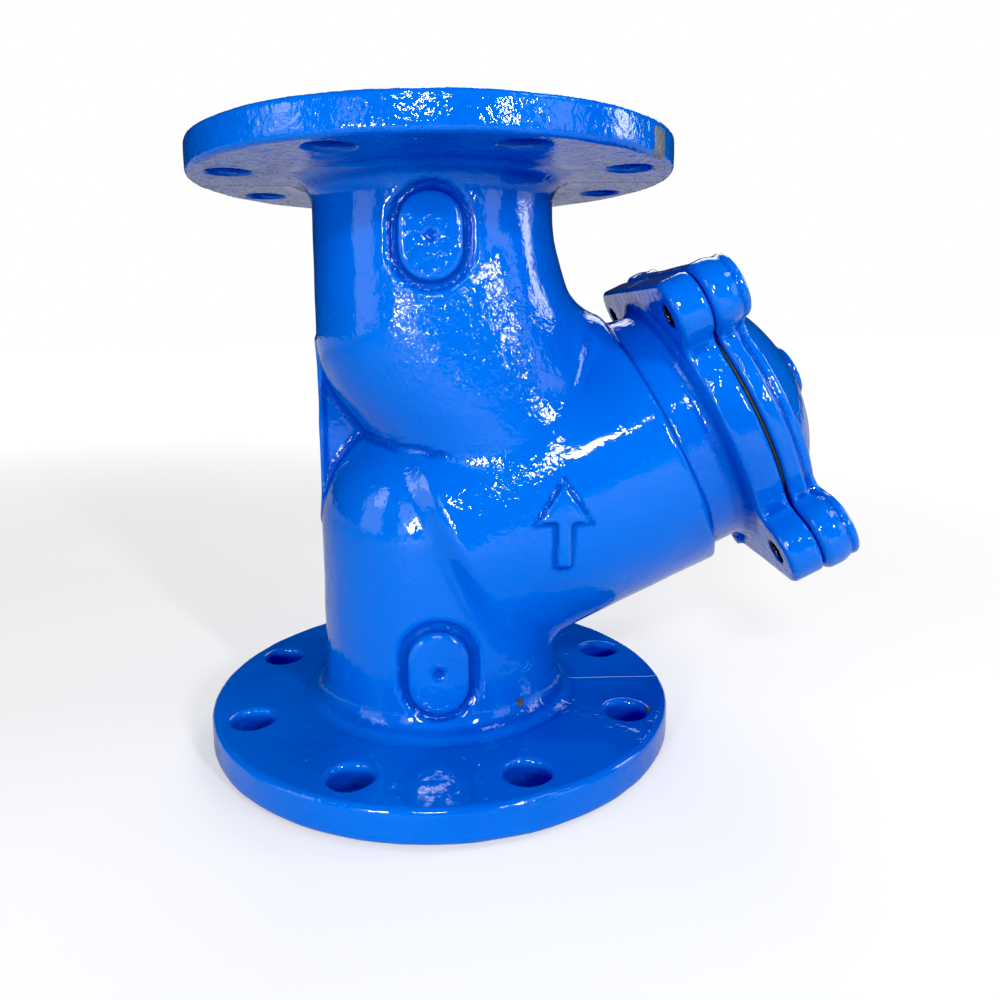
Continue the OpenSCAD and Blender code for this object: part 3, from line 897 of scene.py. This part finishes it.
def zinc(name):
    """Bright zinc plate with faint passivation colour and handling marks."""
    m = Nodes(name)
    tint = m.blend(m.fit(m.noise(160.0, 2.0), 0.35, 0.7), (0.62, 0.63, 0.64, 1.0),
                   (0.66, 0.62, 0.50, 1.0))
    rub = m.noise(900.0, 2.0, 0.6, m.stretched(1.0, 4.0, 1.0))
    return m.finish(Base_Color=tint, Metallic=1.0, Roughness=m.fit(rub, 0.3, 0.7, 0.22, 0.42),
                    Normal=m.bump(rub, 0.18, 0.0001))


def stainless(name, low, high):
    """Rolled stainless steel with a fine brushed finish along the branch."""
    m = Nodes(name)
    along = m.stretched(1.0, 60.0, 60.0, (0.0, LEAN, 0.0))
    grain = m.noise(40.0, 4.0, 0.6, along)
    shade = m.blend(m.noise(30.0, 2.0), (0.50, 0.49, 0.47, 1.0), (0.62, 0.61, 0.59, 1.0))
    return m.finish(Base_Color=shade, Metallic=1.0, Roughness=m.fit(grain, 0.3, 0.7, low, high),
                    Normal=m.bump(grain, 0.12, 0.00008))


def rubber(name):
    """Black nitrile sheet with a light bloom."""
    m = Nodes(name)
    shade = m.blend(m.noise(90.0, 3.0), (0.012, 0.012, 0.013, 1.0), (0.03, 0.03, 0.031, 1.0))
    return m.finish(Base_Color=shade, Roughness=m.fit(m.noise(300.0), 0.3, 0.7, 0.55, 0.75),
                    Normal=m.bump(m.noise(1400.0, 2.0), 0.2, 0.0001))


def copper(name):
    """Soft copper, slightly browned."""
    m = Nodes(name)
    shade = m.blend(m.fit(m.noise(220.0, 3.0), 0.35, 0.7), (0.78, 0.36, 0.22, 1.0),
                    (0.42, 0.17, 0.10, 1.0))
    return m.finish(Base_Color=shade, Metallic=1.0, Normal=m.bump(m.noise(800.0), 0.1, 0.0001),
                    Roughness=m.fit(m.noise(140.0), 0.3, 0.7, 0.28, 0.45))


# One broad chip across the upper flange's rim, and one small chip beside it
rim_chip = [(math.radians(a), z) for a in (-31.0, -33.0, -35.0) for z in (255.8, 259.0, 262.2)]
body_chips = [(107.0 * math.cos(a), 107.0 * math.sin(a), z, 2.9) for a, z in rim_chip]
body_chips.append((-32.3, -96.4, 253.4, 1.3))
body_rust = ((35.1, -42.1, 25.0, 1.8), (93.2, -34.0, 16.6, 1.7), (-55.3, -7.8, 22.2, 1.9))
body_paint = epoxy("blue_epoxy_body", body_chips, body_rust)
cover_paint = epoxy("blue_epoxy_cover")
plug_paint = epoxy("blue_epoxy_plug")
bright_zinc = zinc("zinc_plate")
sheet_steel = stainless("stainless_sheet", 0.22, 0.38)
woven_steel = stainless("stainless_weave", 0.28, 0.45)
black_rubber = rubber("nitrile")
soft_copper = copper("copper_ring")

finishes = [(body_piece, body_paint), (cover_piece, cover_paint), (plug_piece, plug_paint),
            (seal_piece, soft_copper), (gasket_piece, black_rubber), (tube_piece, sheet_steel),
            (lining_piece, woven_steel), (strip_piece, sheet_steel)]
finishes += [(piece, bright_zinc) for piece in screws + washers]
finishes += [(piece, sheet_steel) for piece in bands]
for piece, material in finishes:
    piece.data.materials.append(material)


# ---------------------------------------------------------------- floor, light, camera

def floor():
    """A pale studio floor with painted light: it glows brighter away from the object, both seen and
    mirrored.
    """
    mesh = bpy.data.meshes.new("studio_floor")
    half = 6.0
    mesh.from_pydata([(-half, -half, 0), (half, -half, 0), (half, half, 0), (-half, half, 0)],
                     [], [(0, 1, 2, 3)])
    plane = bpy.data.objects.new("studio_floor", mesh)
    bpy.context.scene.collection.objects.link(plane)
    m = Nodes("pale_floor")
    shade = m.blend(m.noise(1.5, 2.0), (0.63, 0.63, 0.635, 1.0), (0.67, 0.67, 0.67, 1.0))
    # Painted light: the floor glows for the camera, more away from the object, and glows far off in
    # reflections
    path = m.tree.nodes.new("ShaderNodeLightPath")
    away = m.distance((0.0, 0.0, 0.0))
    seen = m.math("MULTIPLY", m.fit(away, 0.35, 1.6, 0.36, 0.85), path.outputs["Is Camera Ray"])
    mirrored = m.math("MULTIPLY", m.fit(away, 0.9, 1.8, 0.0, 0.30), path.outputs["Is Glossy Ray"])
    glow = m.math("ADD", seen, mirrored)
    plane.data.materials.append(m.finish(Base_Color=shade, Roughness=0.75, Emission_Strength=glow,
                                         Emission_Color=(1.0, 1.0, 1.0, 1.0)))


def soft_light(name, at, aim, width, height, watts):
    """A rectangular soft box."""
    lamp = bpy.data.lights.new(name, "AREA")
    lamp.shape, lamp.size, lamp.size_y = "RECTANGLE", width, height
    lamp.energy = watts
    lamp_object = bpy.data.objects.new(name, lamp)
    lamp_object.location = at
    lamp_object.rotation_euler = (Vector(aim) - Vector(at)).to_track_quat("-Z", "Y").to_euler()
    bpy.context.scene.collection.objects.link(lamp_object)


def studio_world(seen, lit, mirrored, panels):
    """A white backdrop that lights and mirrors as a dimmer grey, with pale upright panels mirrored in it.

    Each panel is an azimuth and a half width in degrees, and how bright it is in the paint.
    """
    world = bpy.data.worlds.new("studio")
    bpy.context.scene.world = world
    world.use_nodes = True
    tree = world.node_tree
    background = tree.nodes["Background"]
    path = tree.nodes.new("ShaderNodeLightPath")
    place = tree.nodes.new("ShaderNodeTexCoord")
    split = tree.nodes.new("ShaderNodeSeparateXYZ")
    tree.links.new(place.outputs["Generated"], split.inputs[0])

    def step(operation, *values):
        node = tree.nodes.new("ShaderNodeMath")
        node.operation = operation
        for socket, value in zip(node.inputs, values):
            if isinstance(value, bpy.types.NodeSocket):
                tree.links.new(value, socket)
            else:
                socket.default_value = value
        return node.outputs[0]

    turn = step("ARCTAN2", split.outputs["X"], step("MULTIPLY", split.outputs["Y"], -1.0))
    soft_edge, top, top_fade = 0.08, 0.55, 6.0
    below_top = step("MULTIPLY", step("SUBTRACT", top, split.outputs["Z"]), top_fade)
    below_top = step("MAXIMUM", step("SMOOTH_MIN", below_top, 1.0, 0.2), 0.0)
    glossy = mirrored - lit
    for azimuth, half_width, gain in panels:
        off = step("ABSOLUTE", step("SUBTRACT", turn, math.radians(azimuth)))
        inside = step("DIVIDE", step("SUBTRACT", math.radians(half_width), off), soft_edge)
        inside = step("MAXIMUM", step("MINIMUM", inside, 1.0), 0.0)
        glossy = step("ADD", glossy, step("MULTIPLY", step("MULTIPLY", inside, below_top), gain))
    strength = step("MULTIPLY_ADD", path.outputs["Is Camera Ray"], seen - lit, lit)
    strength = step("MULTIPLY_ADD", path.outputs["Is Glossy Ray"], glossy, strength)
    tree.links.new(strength, background.inputs["Strength"])
    background.inputs["Color"].default_value = (1.0, 1.0, 1.0, 1.0)


def aimed(azimuth, elevation, reach):
    """A place round the object; azimuth 0 is in front of it and grows to the right."""
    a, e = math.radians(azimuth), math.radians(elevation)
    return Vector((math.sin(a) * math.cos(e), -math.cos(a) * math.cos(e), math.sin(e))) * reach


floor()
panels = ((-66.0, 15.0, 1.6), (-32.0, 7.0, 2.2), (58.0, 11.0, 1.8), (96.0, 12.0, 1.4))
studio_world(seen=1.0, lit=0.32, mirrored=0.04, panels=panels)

# Each soft box: azimuth and elevation in degrees, width and height in metres, watts
soft_boxes = (("window_right", 31, 18, 0.07, 0.26, 6.0), ("window_left", -26, 6, 0.08, 0.18, 5.0),
              ("lamp_front", -6, 27, 0.20, 0.06, 4.0), ("box_left", -62, 24, 0.26, 0.36, 1.0),
              ("box_right", 92, 22, 0.24, 0.40, 2.2), ("box_high", 60, 50, 0.30, 0.20, 1.2),
              ("box_back", 165, 40, 0.80, 0.50, 4.0))
light_reach = 1.2
middle = Vector((0.03, 0.0, 0.14))
for name, azimuth, elevation, width, height, watts in soft_boxes:
    at = middle + aimed(azimuth, elevation, light_reach)
    soft_light(name, at, middle, width, height, watts)

# A wide lens close in front, a little above the middle and tilted down
camera_data = bpy.data.cameras.new("camera")
camera_data.lens, camera_data.sensor_width = 29.63, 36.0
camera_data.shift_x, camera_data.shift_y = 0.0289, -0.0862
camera_data.clip_start = 0.01
camera = bpy.data.objects.new("camera", camera_data)
camera.location = (0.0069, -0.3854, 0.1926)
camera.rotation_euler = Euler((math.pi / 2 - 0.116, 0.0133, -0.0261))
bpy.context.scene.collection.objects.link(camera)
bpy.context.scene.camera = camera
view = bpy.context.scene.view_settings
view.view_transform = "Standard"
view.use_curve_mapping = True
view.curve_mapping.black_level = (0.02, 0.02, 0.02)
